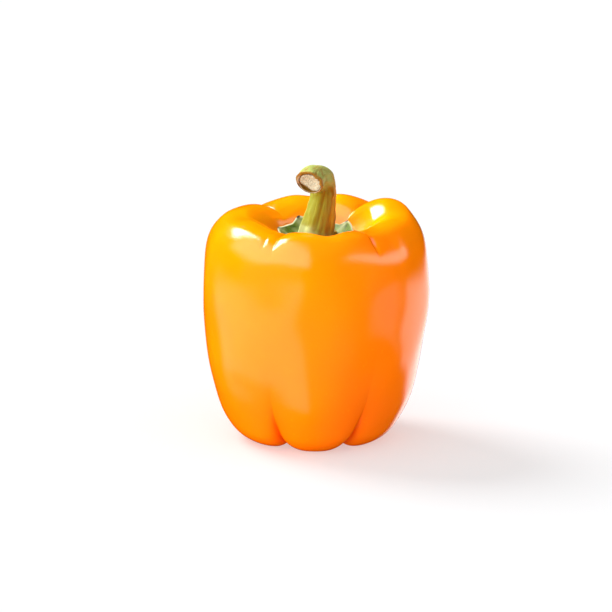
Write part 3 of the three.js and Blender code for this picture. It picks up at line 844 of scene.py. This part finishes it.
def make_card(name, start, end, lower, upper, strength, soft_side, soft_rise, steps=24):
    """Glowing patch of a sphere round the fruit, between two azimuths and two sloping elevations, that
    fades to nothing at its edges with the smooth step of the way in from each edge."""
    across, up = np.meshgrid(np.linspace(0, 1, steps), np.linspace(0, 1, steps))
    azimuth = start + (end - start) * across
    low = lower[0] + (lower[1] - lower[0]) * across
    high = upper[0] + (upper[1] - upper[0]) * across
    points = CARD_CENTRE + CARD_RADIUS * direction(azimuth, low + (high - low) * up)
    side = smooth(0, soft_side, np.minimum(across, 1 - across) * (end - start))
    rise = smooth(0, soft_rise, np.minimum(up, 1 - up) * (high - low))
    here = np.arange(steps * steps).reshape(steps, steps)
    faces = np.stack([here[:-1, :-1], here[:-1, 1:], here[1:, 1:], here[1:, :-1]], -1).reshape(-1, 4)
    mesh = bpy.data.meshes.new(name)
    mesh.from_pydata(points.reshape(-1, 3).tolist(), [], faces.tolist())
    mesh.attributes.new("glow", "FLOAT", "POINT").data.foreach_set("value", (side * rise).ravel())
    card = bpy.data.objects.new(name, mesh)
    bpy.context.collection.objects.link(card)
    card.visible_camera = card.visible_diffuse = card.visible_shadow = False
    card.visible_transmission = card.visible_volume_scatter = False

    material = bpy.data.materials.new(name)
    material.use_nodes = True
    tree = material.node_tree
    tree.nodes.remove(tree.nodes["Principled BSDF"])
    glow = add(tree, "Emission", Strength=times(tree, mark(tree, "glow"), strength))
    tree.links.new(glow.outputs[0], tree.nodes["Material Output"].inputs["Surface"])
    mesh.materials.append(material)


def make_sun(name, lit, azimuth, elevation, strength, spread):
    """Broad distant light that the gloss doesn't mirror and that only the lit pieces receive."""
    lamp = bpy.data.lights.new(name, "SUN")
    lamp.energy = strength
    lamp.angle = np.radians(spread)
    sun = bpy.data.objects.new(name, lamp)
    bpy.context.collection.objects.link(sun)
    sun.rotation_euler = Vector(direction(azimuth, elevation)).to_track_quat("Z", "Y").to_euler()
    sun.visible_glossy = False
    sun.light_linking.receiver_collection = lit


def make_world():
    """White to the camera, an even grey light on matt surfaces, and black in the gloss."""
    world = bpy.data.worlds.new("studio")
    world.use_nodes = True
    world.cycles.sampling_method = "NONE"
    bpy.context.scene.world = world
    tree = world.node_tree
    path = add(tree, "LightPath")
    level = add(tree, "Mix", data_type="FLOAT", clamp_factor=True)
    tree.links.new(path.outputs["Is Glossy Ray"], level.inputs[0])
    level.inputs[2].default_value = AMBIENT
    level.inputs[3].default_value = DARK_REFLECTION
    seen = add(tree, "Mix", data_type="FLOAT", clamp_factor=True)
    tree.links.new(path.outputs["Is Camera Ray"], seen.inputs[0])
    tree.links.new(level.outputs[0], seen.inputs[2])
    seen.inputs[3].default_value = 1.0
    background = tree.nodes["Background"]
    background.inputs["Color"].default_value = (1, 1, 1, 1)
    tree.links.new(seen.outputs[0], background.inputs["Strength"])


def make_floor():
    """Plain pale floor that glows a little by itself and that the fruit's gloss doesn't mirror."""
    half = FLOOR_SIZE / 2
    mesh = bpy.data.meshes.new("floor")
    mesh.from_pydata([(-half, -half, 0), (half, -half, 0), (half, half, 0), (-half, half, 0)], [],
                     [(0, 1, 2, 3)])
    floor = bpy.data.objects.new("floor", mesh)
    bpy.context.collection.objects.link(floor)
    floor.visible_glossy = False
    material, _, _ = new_material("floor_white", Base_Color=FLOOR_GREY, Roughness=0.6,
                                  Specular_IOR_Level=0.0, Emission_Color=(1, 1, 1, 1),
                                  Emission_Strength=FLOOR_GLOW)
    mesh.materials.append(material)
    return floor


def make_camera():
    """Camera at the photograph's angle, wide enough for VIEW_WIDTH at LOOK_AT."""
    lens = bpy.data.cameras.new("camera")
    lens.sensor_width = SENSOR
    lens.lens = SENSOR * CAMERA_DISTANCE / VIEW_WIDTH
    camera = bpy.data.objects.new("camera", lens)
    bpy.context.collection.objects.link(camera)
    towards = Vector(direction(0.0, CAMERA_ELEVATION))
    camera.location = LOOK_AT + towards * CAMERA_DISTANCE
    camera.rotation_euler = towards.to_track_quat("Z", "Y").to_euler()
    bpy.context.scene.camera = camera


# Assembly

def finished(piece, material, node, sharp=None):
    """Gives a piece its finish and puts it in its node's place on the part's one body."""
    piece.data.materials.append(material)
    if sharp:
        piece.data.set_sharp_from_angle(angle=np.radians(sharp))
    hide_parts(node)
    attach(piece, "root")
    return piece


def lit_together(name, pieces):
    """Collection, in no scene, of the pieces that share their suns."""
    group = bpy.data.collections.new(name)
    for piece in pieces:
        group.objects.link(piece)
    return group


mottle, streaks = mottle_group(), streak_group()
pepper = [
    finished(make_fruit(), skin_material(mottle), "fruit"),
    finished(make_calyx(), calyx_material(mottle, streaks), "calyx"),
    finished(make_stem(), stem_material(mottle, streaks), "stem", sharp=55),
    finished(make_pith(), pith_material(mottle, streaks), "stem_pith", sharp=60),
]

make_camera()
make_world()
on_fruit, on_floor = lit_together("pepper", pepper), lit_together("floor", [make_floor()])
for name, sizes in FRUIT_SUNS.items():
    make_sun(name, on_fruit, *sizes)
for name, sizes in FLOOR_SUNS.items():
    make_sun(name, on_floor, *sizes)
for name, sizes in CARDS.items():
    make_card(name, *sizes)
bpy.context.scene.view_settings.view_transform = "Standard"
